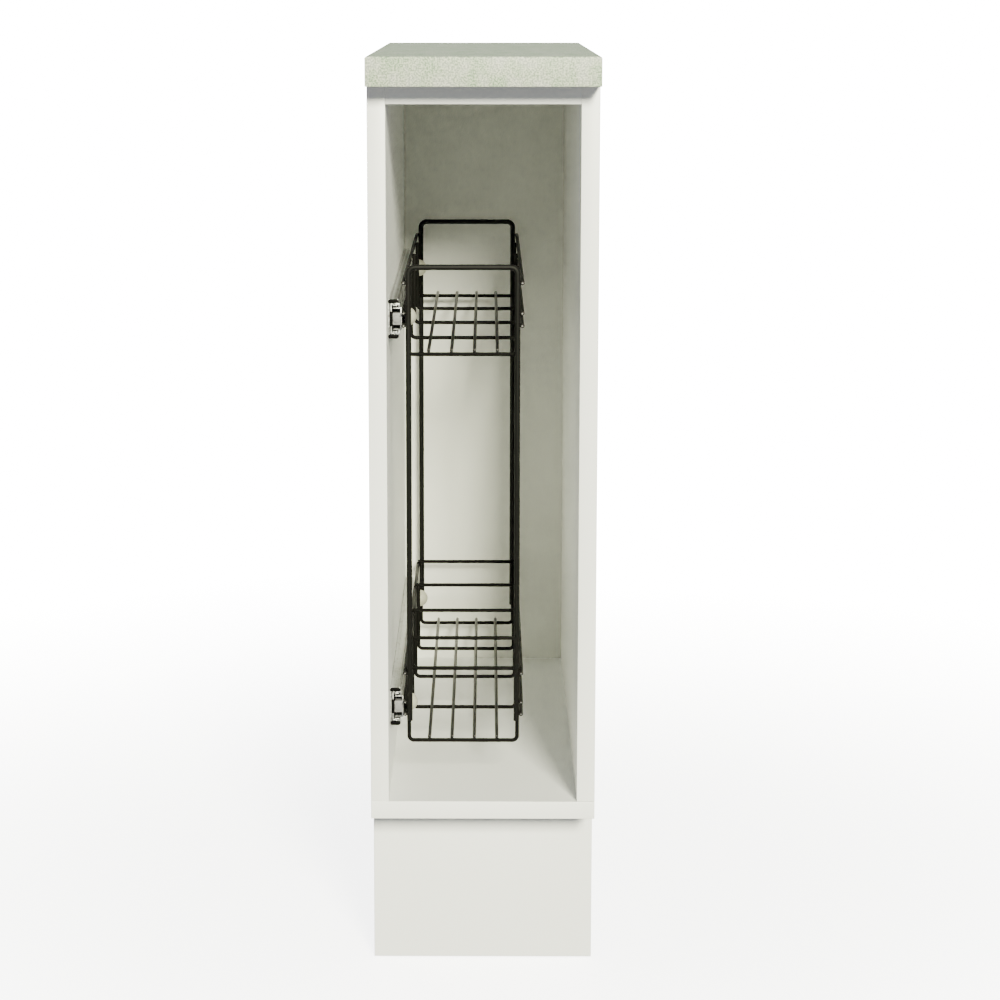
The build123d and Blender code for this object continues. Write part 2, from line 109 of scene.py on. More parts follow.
def pattern(finish, kind, grain, stretch=(1, 1, 1), detail=2.0):
    """Noise or cells with features about one grain wide, in metres, and longer along a stretch."""
    nodes, links = finish.node_tree.nodes, finish.node_tree.links
    place = nodes.new("ShaderNodeTexCoord")
    mapping = nodes.new("ShaderNodeMapping")
    mapping.inputs["Scale"].default_value = [1 / s for s in stretch]
    links.new(place.outputs["Object"], mapping.inputs["Vector"])
    texture = nodes.new("ShaderNodeTexNoise" if kind == "noise" else "ShaderNodeTexVoronoi")
    texture.inputs["Scale"].default_value = 1 / grain
    texture.inputs["Detail"].default_value = detail
    links.new(mapping.outputs["Vector"], texture.inputs["Vector"])
    return texture.outputs["Fac" if kind == "noise" else "Color"]


# %% [markdown]
# One pattern can drive several things, so that they belong together: a grain that is darker is also
# a little deeper. The helpers below lead a pattern to the colour through a ramp, mix two such
# colours, let the roughness wander along it, and raise it as a fine relief.

# %% What a pattern drives
def paint(finish, shader, source, stops):
    """Colours the finish by a ramp of (place, colour) stops along a pattern."""
    nodes, links = finish.node_tree.nodes, finish.node_tree.links
    ramp = nodes.new("ShaderNodeValToRGB")
    elements = ramp.color_ramp.elements
    while len(elements) < len(stops):
        elements.new(0.5)
    for element, (place, color) in zip(elements, stops):
        element.position = place
        element.color = (*color, 1)
    links.new(source, ramp.inputs["Fac"])
    links.new(ramp.outputs["Color"], shader.inputs["Base Color"])
    return ramp.outputs["Color"]


def blend(finish, shader, first, second, share):
    """Mixes a share of a second colour into a first one."""
    mix = finish.node_tree.nodes.new("ShaderNodeMix")
    mix.data_type = "RGBA"
    mix.inputs["Factor"].default_value = share
    finish.node_tree.links.new(first, mix.inputs["A"])
    finish.node_tree.links.new(second, mix.inputs["B"])
    finish.node_tree.links.new(mix.outputs["Result"], shader.inputs["Base Color"])


def wander(finish, shader, source, low, high):
    """Lets the roughness wander between two values along a pattern."""
    nodes, links = finish.node_tree.nodes, finish.node_tree.links
    spread = nodes.new("ShaderNodeMapRange")
    spread.inputs["To Min"].default_value = low
    spread.inputs["To Max"].default_value = high
    links.new(source, spread.inputs["Value"])
    links.new(spread.outputs["Result"], shader.inputs["Roughness"])


def relief(finish, shader, source, height, strength):
    """Raises the surface by a pattern, to a height in metres."""
    nodes, links = finish.node_tree.nodes, finish.node_tree.links
    bump = nodes.new("ShaderNodeBump")
    bump.inputs["Strength"].default_value = strength
    bump.inputs["Distance"].default_value = height
    links.new(source, bump.inputs["Height"])
    links.new(bump.outputs["Normal"], shader.inputs["Normal"])


# %% [markdown]
# ## White boards
#
# Melamine-faced chipboard is a clean white with a pearl texture of about a millimetre. Its front
# edges carry a thin plastic band that is smoother than the faces. The back is hardboard with a
# smooth lacquer on its inner face, a little darker than the boards. One helper makes the three
# whites, because they differ only in a few values.

# %% White finishes
BOARD_WHITE = (0.83, 0.839, 0.83)
BACK_WHITE = (0.735, 0.744, 0.695)
CLOUD_SIZE = 0.09
CLOUD_SHADE = 0.983


def white_finish(name, white, grain, height, smooth, rough):
    """A white with faint wide clouds, and a pearl texture of a grain's width and height."""
    finish, shader = new_finish(name, white, rough)
    clouds = pattern(finish, "noise", CLOUD_SIZE)
    paint(finish, shader, clouds, [(0.3, [c * CLOUD_SHADE for c in white]), (0.7, white)])
    pearl = pattern(finish, "noise", grain)
    wander(finish, shader, pearl, smooth, rough)
    relief(finish, shader, pearl, height, strength=0.35)
    print("finish:", name)
    return finish


melamine = white_finish(
    "white_melamine", BOARD_WHITE, grain=0.0011, height=0.00008, smooth=0.36, rough=0.5
)
edge_band = white_finish(
    "white_edge_band", BOARD_WHITE, grain=0.0005, height=0.00003, smooth=0.3, rough=0.4
)
lacquer = white_finish(
    "white_back_lacquer", BACK_WHITE, grain=0.0016, height=0.000002, smooth=0.42, rough=0.55
)

# %% [markdown]
# The rear edges of the boards are left raw, so the brown chips show there, and the outer face of the
# back is plain hardboard with fibres. Such dull finishes need one pattern each, which drives both the
# colour and the relief: cells for pressed chips, stretched noise for fibres.

# %% Raw edges and hardboard
def grained_finish(name, color, roughness, stops, height, strength, **grain):
    """A dull finish with one pattern for its colour and its relief."""
    finish, shader = new_finish(name, color, roughness)
    source = pattern(finish, **grain)
    paint(finish, shader, source, stops)
    relief(finish, shader, source, height, strength)
    print("finish:", name)
    return finish


raw_edge = grained_finish(
    "raw_chipboard",
    (0.42, 0.28, 0.14),
    0.85,
    [(0.1, (0.2, 0.11, 0.045)), (0.5, (0.42, 0.27, 0.13)), (0.9, (0.58, 0.42, 0.24))],
    height=0.0003,
    strength=0.6,
    kind="cells",
    grain=0.0022,
    stretch=(1.6, 1, 1),
)
hardboard = grained_finish(
    "brown_hardboard",
    (0.24, 0.135, 0.062),
    0.75,
    [(0.3, (0.18, 0.095, 0.04)), (0.7, (0.3, 0.175, 0.085))],
    height=0.0001,
    strength=0.5,
    kind="noise",
    grain=0.0012,
    stretch=(1, 1, 3),
    detail=4,
)

# %% [markdown]
# The boards themselves are right as solids. New boxes would lose what is cut into them, so each
# piece starts from a copy of its solid. The copy is loose triangles, so its doubles are merged and
# its flat faces made whole first. Then a bevel can round its sharp edges, because no real board has
# a perfectly sharp one.

# %% Copies of solids, and their edges
FLAT = radians(1)
NEAR = 1e-5
SAME = NEAR / 10


def merged_copy(node):
    """A copy of a solid's mesh, as one closed skin with whole flat faces."""
    bm = bmesh.new()
    bm.from_mesh(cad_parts[node].data)
    bmesh.ops.remove_doubles(bm, verts=bm.verts, dist=SAME)
    bmesh.ops.dissolve_limit(bm, angle_limit=FLAT, verts=bm.verts, edges=bm.edges)
    return bm


def sharp_edges(bm):
    return [e for e in bm.edges if len(e.link_faces) == 2 and e.calc_face_angle(0) > CRISP_ANGLE]


def soften(bm, edges, rounding, segments, clamp=True):
    """Rounds edges off. The clamp keeps the roundings of close edges from crossing."""
    bmesh.ops.bevel(
        bm,
        geom=edges,
        offset=rounding,
        offset_type="OFFSET",
        segments=segments,
        profile=0.5,
        affect="EDGES",
        clamp_overlap=clamp,
        material=-1,
    )


# %% [markdown]
# On a board only the outer edges are rounded, which are those whose ends lie on two or more sides of
# its box. What is cut into a board stays crisp. A band is marked by a cut just behind its side. Then
# the faces are sorted by the way they look: faced, banded or raw.

# %% A board from its solid
EDGE_ROUNDING = 0.0005
EDGE_STEPS = 3
BAND_THICKNESS = 0.0008


def on_box(point, low, high):
    """How many of the box's six planes a point lies on."""
    return sum(abs(point[i] - low[i]) < NEAR or abs(point[i] - high[i]) < NEAR for i in range(3))


def depth_under(side, point, low, high):
    """How deep a point lies under a side of the box, such as +y."""
    axis = "xyz".index(side[1])
    return high[axis] - point[axis] if side[0] == "+" else point[axis] - low[axis]


def cut_band(bm, side, low, high):
    """Cuts a board all round, one band thickness behind a side."""
    axis = "xyz".index(side[1])
    cut = high[axis] - BAND_THICKNESS if side[0] == "+" else low[axis] + BAND_THICKNESS
    normal = (X, Y, Z)[axis]
    geometry = [*bm.verts, *bm.edges, *bm.faces]
    bmesh.ops.bisect_plane(bm, geom=geometry, plane_co=normal * cut, plane_no=normal, dist=NEAR)


def board(node, name, finishes, raw=(), banded=(), rounding=EDGE_ROUNDING):
    """finishes are faced, banded and raw. raw and banded name the sides that look so."""
    low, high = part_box(node)
    bm = merged_copy(node)
    for side in banded:
        cut_band(bm, side, low, high)
    corners = [e for e in sharp_edges(bm) if all(on_box(v.co, low, high) >= 2 for v in e.verts)]
    soften(bm, corners, rounding, EDGE_STEPS, clamp=False)
    bm.normal_update()
    for face in bm.faces:
        center = face.calc_center_median()
        for index, sides, reach in ((1, banded, BAND_THICKNESS), (2, raw, NEAR)):
            if any(depth_under(side, center, low, high) < reach + NEAR for side in sides):
                face.material_index = index
    return piece(name, bm, "cabinet", finishes, [node])


# %% [markdown]
# The two sides are raw behind, on top and below, where the wall or other boards hide them. The bottom
# lies under the sides, so its ends are seen and are banded like its front. The back is a thin sheet:
# lacquered inside, brown outside.

# %% All boards of the case
SHEET_ROUNDING = 0.0002

for node, name, raw, banded in (
    ("left_side_panel", "left_side_board", ("+y", "+z", "-z"), ("-y",)),
    ("right_side_panel", "right_side_board", ("+y", "+z", "-z"), ("-y",)),
    ("bottom_panel", "bottom_board", ("+y",), ("-y", "-x", "+x")),
    ("front_top_rail", "front_rail_board", ("+y",), ("-y",)),
    ("rear_top_rail", "rear_rail_board", ("+y",), ("-y",)),
    ("plinth_panel", "plinth_board", (), ("-x", "+x", "+z")),
):
    board(node, name, (melamine, edge_band, raw_edge), raw, banded)

sheet_finishes = (lacquer, lacquer, hardboard)
board("back_panel", "back_sheet", sheet_finishes, ("+y",), rounding=SHEET_ROUNDING)

# %% [markdown]
# ## Worktop
#
# The worktop is chipboard under a pressed laminate that imitates a fine pale stone. Close to, it is a
# grey-green ground with cream and darker grains of about a millimetre, and from a step away soft
# clouds show in it. One noise with much detail would give neither, so two patterns of their own sizes
# are mixed. The underside is plain backing paper.

# %% Laminate and backing paper
GROUND = (0.33, 0.385, 0.299)

laminate, laminate_shader = new_finish("stone_laminate", (0.42, 0.45, 0.365), 0.5)
grains = pattern(laminate, "noise", grain=0.0015, detail=1.5)
grain_stops = [(0.4, (0.12, 0.16, 0.105)), (0.5, GROUND), (0.6, (0.62, 0.645, 0.488))]
grain_color = paint(laminate, laminate_shader, grains, grain_stops)
clouds = pattern(laminate, "noise", grain=0.013, stretch=(1, 1, 1.6), detail=3)
cloud_stops = [(0.36, (0.2, 0.31, 0.189)), (0.5, GROUND), (0.64, (0.46, 0.455, 0.446))]
cloud_color = paint(laminate, laminate_shader, clouds, cloud_stops)
blend(laminate, laminate_shader, grain_color, cloud_color, share=0.45)
wander(laminate, laminate_shader, grains, low=0.4, high=0.6)
relief(laminate, laminate_shader, grains, height=0.00006, strength=0.4)
print("finish:", laminate.name)

backing = grained_finish(
    "backing_paper",
    (0.68, 0.67, 0.63),
    0.8,
    [(0.3, (0.63, 0.62, 0.58)), (0.7, (0.71, 0.7, 0.66))],
    height=0.00005,
    strength=0.4,
    kind="noise",
    grain=0.004,
    detail=4,
)

# %% [markdown]
# The slab is made as the boards are, with the laminate on top, front and ends and a raw rear edge.
# The faces that point down get the paper afterwards.

# %% Worktop slab
SLAB_ROUNDING = 0.0004
DOWNWARD = -0.9

slab_finishes = (laminate, laminate, raw_edge)
slab = board(
    "worktop", "worktop_slab", slab_finishes, ("+y",), rounding=SLAB_ROUNDING
)
slab.data.materials.append(backing)
for face in slab.data.polygons:
    if face.normal.z < DOWNWARD:
        face.material_index = len(slab_finishes)

# %% [markdown]
# ## Black wire
#
# The pull-out is welded from round steel wire and coated with black powder, which leaves a very fine
# orange peel. In the photograph the ribs and bars look duller than the end frames and the thin floor
# wires glossier, so one helper makes the coat in three degrees of gloss. The tips of the side wires
# get a spot of bright metal, a painted glint that stands for the light caught on their coated ends.

# %% Powder coat and painted glints of the wire tips
def coat_finish(name, gloss, smooth, rough):
    finish, shader = new_finish(name, (0.006, 0.006, 0.005), rough)
    shader.inputs["Specular IOR Level"].default_value = gloss
    peel = pattern(finish, "noise", grain=0.0006)
    paint(finish, shader, peel, [(0.3, (0.003, 0.003, 0.0026)), (0.7, (0.006, 0.006, 0.0052))])
    wander(finish, shader, peel, smooth, rough)
    relief(finish, shader, peel, height=0.00002, strength=0.5)
    print("finish:", name)
    return finish


powder_coat = coat_finish("black_powder_coat", gloss=0.11, smooth=0.42, rough=0.56)
dull_coat = coat_finish("dull_powder_coat", gloss=0.02, smooth=0.5, rough=0.62)
satin_coat = coat_finish("satin_powder_coat", gloss=0.29, smooth=0.3, rough=0.4)

# This bright metal goes on the tips of the side wires as a painted glint of light, not as bare steel.
tip_glint, tip_glint_shader = new_finish("painted_tip_glint", (0.3, 0.3, 0.29), 0.35, metallic=1.0)
glint_grain = pattern(tip_glint, "noise", grain=0.0003, stretch=(6, 1, 1))
wander(tip_glint, tip_glint_shader, glint_grain, low=0.3, high=0.5)
print("finish:", tip_glint.name)

# %% [markdown]
# A wire could be a curve with a round profile. Here it is a ring of points that is run straight and
# bent, as on a wire bender: extruding the ring makes a straight stretch, and spinning it makes a bend
# of an exact radius. The result is a plain mesh whose ends can be closed and rounded.

# %% The wire bender
WIRE_SIDES = 20
BEND_STEPS = 8
CUT_ROUNDING = 0.0004
CUT_STEPS = 2


def ring(bm, center, direction, diameter):
    """A circle of edges about a point, square to a direction."""
    turn = Z.rotation_difference(Vector(direction)).to_matrix().to_4x4()
    matrix = Matrix.Translation(center) @ turn
    made = bmesh.ops.create_circle(bm, segments=WIRE_SIDES, radius=diameter / 2, matrix=matrix)
    return list({edge for vert in made["verts"] for edge in vert.link_edges})


def run(bm, edges, move):
    """Extrudes a ring straight, and gives the new ring."""
    made = bmesh.ops.extrude_edge_only(bm, edges=edges)["geom"]
    verts = [g for g in made if isinstance(g, bmesh.types.BMVert)]
    bmesh.ops.translate(bm, verts=verts, vec=move)
    new_edges = [g for g in made if isinstance(g, bmesh.types.BMEdge)]
    return [edge for edge in new_edges if all(v in verts for v in edge.verts)]


def bend(bm, edges, center, angle):
    """Spins a ring about an axis along the depth, and gives the new ring."""
    verts = list({vert for edge in edges for vert in edge.verts})
    made = bmesh.ops.spin(
        bm,
        geom=[*verts, *edges],
        cent=center,
        axis=Y,
        angle=angle,
        steps=BEND_STEPS,
        use_merge=False,
    )
    return [g for g in made["geom_last"] if isinstance(g, bmesh.types.BMEdge)]


def cut_ends(bm):
    """Closes the open ends of the wires and takes off their burr."""
    rims = [edge for edge in bm.edges if edge.is_boundary]
    bmesh.ops.holes_fill(bm, edges=rims, sides=0)
    soften(bm, rims, CUT_ROUNDING, CUT_STEPS, clamp=False)
    bmesh.ops.recalc_face_normals(bm, faces=bm.faces)


def straight_wire(bm, start, end, diameter):
    run(bm, ring(bm, start, end - start, diameter), end - start)


def bent_wire(bm, left, right, tip_z, base_z, y, diameter, radius):
    """A wire bent twice in one plane: from a tip to its base, along it, and back to a tip."""
    up = 1 if tip_z > base_z else -1
    leg = base_z + up * radius - tip_z
    edges = ring(bm, Vector((left, y, tip_z)), -up * Z, diameter)
    edges = run(bm, edges, Vector((0, 0, leg)))
    edges = bend(bm, edges, Vector((left + radius, y, base_z + up * radius)), -up * pi / 2)
    edges = run(bm, edges, Vector((right - left - 2 * radius, 0, 0)))
    edges = bend(bm, edges, Vector((right - radius, y, base_z + up * radius)), -up * pi / 2)
    run(bm, edges, Vector((0, 0, -leg)))


# %% [markdown]
# The end frames are the thickest wire, bent upside down into a U. Their places are read from the
# solids: the line through the middle of a rod lies one radius inside the box of its frame.

# %% End frames
FRAME_BEND = 0.006

frame_ys = []
for end in ("front", "rear"):
    low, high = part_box(f"{end}_frame")
    rod = high.y - low.y
    left, right, top = low.x + rod / 2, high.x - rod / 2, high.z - rod / 2
    y = (low.y + high.y) / 2
    frame_ys.append(y)
    bm = bmesh.new()
    bent_wire(bm, left, right, low.z, top, y, rod, FRAME_BEND)
    cut_ends(bm)
    piece(f"{end}_frame_rod", bm, "pullout", [powder_coat], [f"{end}_frame"])

# %% [markdown]
# Each basket is five bent ribs with wires welded along them: three on each side, outside the ribs,
# and four over the floor. Their middle lines are measured on the boxes of the solids, one wire radius
# inside, and kept, because the weld beads need them again.

# %% Measure the baskets
RIB_COUNT = 5
FLOOR_WIRE_COUNT = 4
PAIR_SPACING = 0.011


def even(first, last, count):
    return [first + (last - first) * i / (count - 1) for i in range(count)]


bar_low, bar_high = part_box("lower_basket_dividers")
wire = bar_high.z - bar_low.z
baskets = {}
for level in LEVELS:
    rib_low, rib_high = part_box(f"{level}_basket_ribs")
    side_low, side_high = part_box(f"{level}_basket_side_wires")
    floor_low, floor_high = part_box(f"{level}_basket_floor_wires")
    thin = floor_high.z - floor_low.z
    pair_z = side_low.z + wire / 2
    baskets[level] = {
        "ribs": even(rib_low.y + wire / 2, rib_high.y - wire / 2, RIB_COUNT),
        "rib_xs": (rib_low.x + wire / 2, rib_high.x - wire / 2),
        "rib_tip": rib_high.z,
        "rib_floor": rib_low.z + wire / 2,
        "side_xs": (side_low.x + wire / 2, side_high.x - wire / 2),
        "side_zs": (pair_z, pair_z + PAIR_SPACING, side_high.z - wire / 2),
        "side_ys": (side_low.y, side_high.y),
        "thin": thin,
        "floor_xs": even(floor_low.x + thin / 2, floor_high.x - thin / 2, FLOOR_WIRE_COUNT),
        "floor_z": (floor_low.z + floor_high.z) / 2,
        "floor_ys": (floor_low.y, floor_high.y),
        "floor_touch": rib_low.z + wire,
    }
    print(level, "basket, ribs at", [round(y, 4) for y in baskets[level]["ribs"]])

# %% [markdown]
# The ribs are bent and the other wires straight. The tips of the side wires are inset once, so that
# a spot of bright metal, a painted glint, shows inside a rim of coat. The lower basket has a straight
# bar across at every rib, which keeps rows of bottles apart.

# %% Wires of the baskets
WIRE_BEND = 0.00425
GLINT_RIM = 0.0007
TIP_FACING = 0.99

for level, basket in baskets.items():
    node = f"{level}_basket"
    rib_left, rib_right = basket["rib_xs"]
    tip, floor = basket["rib_tip"], basket["rib_floor"]
    bm = bmesh.new()
    for y in basket["ribs"]:
        bent_wire(bm, rib_left, rib_right, tip, floor, y, wire, WIRE_BEND)
    cut_ends(bm)
    piece(f"{level}_rib_wires", bm, "pullout", [dull_coat], [f"{node}_ribs"])

    front, rear = basket["side_ys"]
    bm = bmesh.new()
    for x in basket["side_xs"]:
        for z in basket["side_zs"]:
            straight_wire(bm, Vector((x, front, z)), Vector((x, rear, z)), wire)
    cut_ends(bm)
    # Inset spots on the tips carry the painted glint.
    tips = [face for face in bm.faces if abs(face.normal.y) > TIP_FACING]
    bmesh.ops.inset_individual(bm, faces=tips, thickness=GLINT_RIM)
    for face in tips:
        face.material_index = 1
    coats = [powder_coat, tip_glint]
    piece(f"{level}_side_rods", bm, "pullout", coats, [f"{node}_side_wires"])

    front, rear = basket["floor_ys"]
    z = basket["floor_z"]
    bm = bmesh.new()
    for x in basket["floor_xs"]:
        straight_wire(bm, Vector((x, front, z)), Vector((x, rear, z)), basket["thin"])
    cut_ends(bm)
    piece(f"{level}_floor_rods", bm, "pullout", [satin_coat], [f"{node}_floor_wires"])

bm = bmesh.new()
bar_z = (bar_low.z + bar_high.z) / 2
for y in baskets["lower"]["ribs"]:
    straight_wire(bm, Vector((bar_low.x, y, bar_z)), Vector((bar_high.x, y, bar_z)), wire)
cut_ends(bm)
piece("lower_divider_bars", bm, "pullout", [dull_coat], ["lower_basket_dividers"])

# %% [markdown]
# Where two wires cross they are spot-welded, and the coat leaves a small soft bead in the corner
# between them. Real fillets would need a boolean at every crossing. A small sphere on each point
# where wires touch looks the same: ribs on side wires, floor wires on ribs, side wires on the end
# frames, and bars on the lower basket.

# %% Weld beads
BEAD_RADIUS = 0.0014

for level, basket in baskets.items():
    spots = []
    for x, rib_x, inward in zip(basket["side_xs"], basket["rib_xs"], (wire / 2, -wire / 2)):
        spots += [((x + rib_x) / 2, y, z) for y in basket["ribs"] for z in basket["side_zs"]]
        spots += [(x + inward, y, z) for y in frame_ys for z in basket["side_zs"]]
        if level == "lower":
            spots += [(place, y, bar_low.z) for y in basket["ribs"] for place in (x, rib_x)]
    spots += [(x, y, basket["floor_touch"]) for x in basket["floor_xs"] for y in basket["ribs"]]
    bm = bmesh.new()
    for spot in spots:
        matrix = Matrix.Translation(spot)
        bmesh.ops.create_icosphere(bm, subdivisions=2, radius=BEAD_RADIUS, matrix=matrix)
    piece(f"{level}_weld_beads", bm, "pullout", [powder_coat])

# %% [markdown]
# ## Slides
#
# A telescopic slide is three channels rolled from galvanised strip, one inside the other. Zinc grows
# in crystals of a few millimetres, which show as faint bright and dull flakes, and the rolling leaves
# streaks along the strip. Cells stand for the flakes and noise drawn out along the depth for the
# streaks. The other metals of the hardware are made in the same way, finer or brighter.

# %% Metals
STREAK_WIDTH = 0.0022
STREAK_STRETCH = (1, 400, 1)
STREAK_SHARE = 0.6


def metal_finish(name, dull, bright, flake, stretch, smooth, rough):
    finish, shader = new_finish(name, bright, rough, metallic=1.0)
    flakes = pattern(finish, "cells", flake, stretch)
    flake_color = paint(finish, shader, flakes, [(0.2, dull), (0.8, bright)])
    streaks = pattern(finish, "noise", STREAK_WIDTH, STREAK_STRETCH)
    streak_color = paint(finish, shader, streaks, [(0.42, dull), (0.58, bright)])
    blend(finish, shader, flake_color, streak_color, STREAK_SHARE)
    wander(finish, shader, streaks, smooth, rough)
    relief(finish, shader, streaks, height=0.00001, strength=0.3)
    print("finish:", name)
    return finish


galvanised = metal_finish(
    "galvanised_strip",
    dull=(0.28, 0.285, 0.28),
    bright=(0.76, 0.77, 0.77),
    flake=0.005,
    stretch=(1, 2, 1),
    smooth=0.24,
    rough=0.4,
)
cage_metal = metal_finish(
    "bright_cage_strip",
    dull=(0.7, 0.7, 0.69),
    bright=(0.8, 0.8, 0.79),
    flake=0.01,
    stretch=(1, 4, 1),
    smooth=0.2,
    rough=0.3,
)
ball_metal = metal_finish(
    "polished_balls",
    dull=(0.76, 0.76, 0.77),
    bright=(0.82, 0.82, 0.83),
    flake=0.004,
    stretch=(1, 1, 1),
    smooth=0.06,
    rough=0.12,
)
screw_metal = metal_finish(
    "zinc_plate",
    dull=(0.58, 0.6, 0.64),
    bright=(0.72, 0.74, 0.78),
    flake=0.002,
    stretch=(1, 1, 1),
    smooth=0.22,
    rough=0.36,
)

# %% [markdown]
# Moulded plastic has an even colour with a fine spark-eroded grain from its mould. Legs, feet, clips,
# front buffers and outer stops are a dull black, the end caps a light grey and the clamp discs cream.
# The bumpers are rubber, which is made like a very rough plastic.

# %% Plastics
def plastic_finish(name, low, high, smooth, rough, height=0.00003, gloss=0.5):
    """A colour between low and high, with a spark-eroded grain of a height."""
    finish, shader = new_finish(name, high, rough)
    shader.inputs["Specular IOR Level"].default_value = gloss
    clouds = pattern(finish, "noise", grain=0.012)
    paint(finish, shader, clouds, [(0.3, low), (0.7, high)])
    spark = pattern(finish, "noise", grain=0.0005)
    wander(finish, shader, spark, smooth, rough)
    relief(finish, shader, spark, height, strength=0.4)
    print("finish:", name)
    return finish


black_plastic = plastic_finish(
    "black_moulding",
    low=(0.0015, 0.0015, 0.0015),
    high=(0.003, 0.003, 0.0028),
    smooth=0.5,
    rough=0.64,
    gloss=0.035,
)
grey_plastic = plastic_finish(
    "grey_moulding",
    low=(0.16, 0.16, 0.172),
    high=(0.19, 0.19, 0.203),
    smooth=0.35,
    rough=0.48,
    gloss=0.3,
)
cream_plastic = plastic_finish(
    "cream_moulding",
    low=(0.33, 0.33, 0.265),
    high=(0.39, 0.39, 0.32),
    smooth=0.32,
    rough=0.45,
)
rubber = plastic_finish(
    "bumper_rubber",
    low=(0.016, 0.016, 0.016),
    high=(0.026, 0.026, 0.025),
    smooth=0.7,
    rough=0.85,
    height=0.00006,
)

# %% [markdown]
# The channels, stops, caps, bumpers, cages and clips have the right shape as solids, so each is a
# merged copy whose sharp edges are rounded: a hair for rolled steel, more for moulded plastic.

# %% Pieces softened from their solids
SOFT_STEPS = 3
CAGE_EDGE = 0.0001
STRIP_EDGE = 0.0002
TAB_EDGE = 0.0003
MOULD_EDGE = 0.0004
CLIP_EDGE = 0.0008
RUBBER_EDGE = 0.0009


def softened_piece(node, name, body, finish, rounding):
    bm = merged_copy(node)
    soften(bm, sharp_edges(bm), rounding, SOFT_STEPS)
    piece(name, bm, body, [finish], [node])


for level in LEVELS:
    slide = f"{level}_slide"
    middle, outer, inner = f"{slide}_middle", f"{level}_outer_bearing", f"{level}_inner_bearing"
    for part, name, body, slot, finish, rounding in (
        ("cabinet_member", "outer_channel", "cabinet", "galvanised_steel", galvanised, STRIP_EDGE),
        ("middle_member", "middle_channel", middle, "galvanised_steel", galvanised, STRIP_EDGE),
        ("basket_member", "inner_channel", "pullout", "galvanised_steel", galvanised, STRIP_EDGE),
        ("race_stops", "outer_stops", "cabinet", "black_plastic", black_plastic, MOULD_EDGE),
        ("middle_stops", "inner_stops", middle, "galvanised_steel", galvanised, TAB_EDGE),
        ("front_buffer", "web_buffer", middle, "black_plastic", black_plastic, TAB_EDGE),
        ("end_cap", "plug", "pullout", "grey_plastic", grey_plastic, MOULD_EDGE),
        ("rear_bumper", "buffer", "cabinet", "bumper_rubber", rubber, RUBBER_EDGE),
        ("outer_cages", "outer_strips", outer, "cage_steel", cage_metal, CAGE_EDGE),
        ("inner_cages", "inner_strips", inner, "cage_steel", cage_metal, CAGE_EDGE),
    ):
        softened_piece(f"{slide}_{part}", f"{slide}_{name}", body, finish, rounding)

softened_piece(
    "plinth_clips", "plinth_springs", "cabinet", black_plastic, CLIP_EDGE
)

# %% [markdown]
# ## Turned pieces
#
# Discs, screws, feet and the columns of the legs are round. A cylinder with bevels could be a start,
# but a profile of radius and height that is spun once about its axis, as on a lathe, gives every step
# of such a piece at once. Profiles that begin and end on the axis close by themselves once the
# doubled points there are merged.

# %% The lathe
TURN_STEPS = 48
CORNER_STEPS = 4


def rounded(points, reach):
    """A profile whose inner corners are rounded off, starting one reach before each corner."""
    made = [Vector(points[0])]
    for before, corner, after in zip(points, points[1:], points[2:]):
        middle = Vector(corner)
        start = middle + (Vector(before) - middle).normalized() * reach
        end = middle + (Vector(after) - middle).normalized() * reach
        for i in range(CORNER_STEPS + 1):
            t = i / CORNER_STEPS
            made.append(start.lerp(middle, t).lerp(middle.lerp(end, t), t))
    return [*made, Vector(points[-1])]


def turned(bm, profile, place, toward, steps=TURN_STEPS):
    """Spins a profile about an axis that starts at a place and points toward a direction."""
    across = toward.orthogonal().normalized()
    verts = [bm.verts.new(place + across * radius + toward * height) for radius, height in profile]
    edges = [bm.edges.new(pair) for pair in zip(verts, verts[1:])]
    bmesh.ops.spin(
        bm,
        geom=[*verts, *edges],
        cent=place,
        axis=toward,
        angle=2 * pi,
        steps=steps,
        use_merge=True,
    )


def close_turned(bm):
    bmesh.ops.remove_doubles(bm, verts=bm.verts, dist=SAME)
    bmesh.ops.recalc_face_normals(bm, faces=bm.faces)


# %% [markdown]
# The cream discs clamp the pair wires of the baskets on the slides: domes with a blind bore for their
# screw. In the photograph they stand a little prouder than the solids, so the domes are made so too.
# The profile is a quarter of an ellipse, which meets the slide square and the top flat. The balls of
# the slides are plain spheres at the places of the solid ones.

# %% Discs and balls
DISC_BORE_RADIUS = 0.0021
DISC_BORE_DEPTH = 0.0041
DOME_PROUD = 0.003
DOME_STEPS = 12
BALLS_IN_ROW = 3
BALL_SEGMENTS = (24, 16)


def clamp_domes(level):
    low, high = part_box(f"{level}_clamp_discs")
    radius = (high.z - low.z) / 2
    rise = high.x - low.x + DOME_PROUD
    slants = [pi / 2 * i / DOME_STEPS for i in range(DOME_STEPS + 1)]
    dome = [(0, DISC_BORE_DEPTH), (DISC_BORE_RADIUS, DISC_BORE_DEPTH), (DISC_BORE_RADIUS, 0)]
    dome += [(radius * cos(slant), rise * sin(slant)) for slant in slants]
    bm = bmesh.new()
    for y in (low.y + radius, high.y - radius):
        turned(bm, dome, Vector((low.x, y, (low.z + high.z) / 2)), X)
    close_turned(bm)
    name, node = f"{level}_clamp_domes", f"{level}_clamp_discs"
    piece(name, bm, "pullout", [cream_plastic], [node])


def ball_row(level, race):
    low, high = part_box(f"{level}_slide_{race}_balls")
    radius = (high.x - low.x) / 2
    around, along = BALL_SEGMENTS
    bm = bmesh.new()
    for y in even(low.y + radius, high.y - radius, BALLS_IN_ROW):
        for z in (low.z + radius, high.z - radius):
            bmesh.ops.create_uvsphere(
                bm,
                u_segments=around,
                v_segments=along,
                radius=radius,
                matrix=Matrix.Translation(((low.x + high.x) / 2, y, z)),
            )
    name, body = f"{level}_{race}_ball_row", f"{level}_{race}_bearing"
    balls = f"{level}_slide_{race}_balls"
    piece(name, bm, body, [ball_metal], [balls])


for level in LEVELS:
    clamp_domes(level)
    for race in ("outer", "inner"):
        ball_row(level, race)

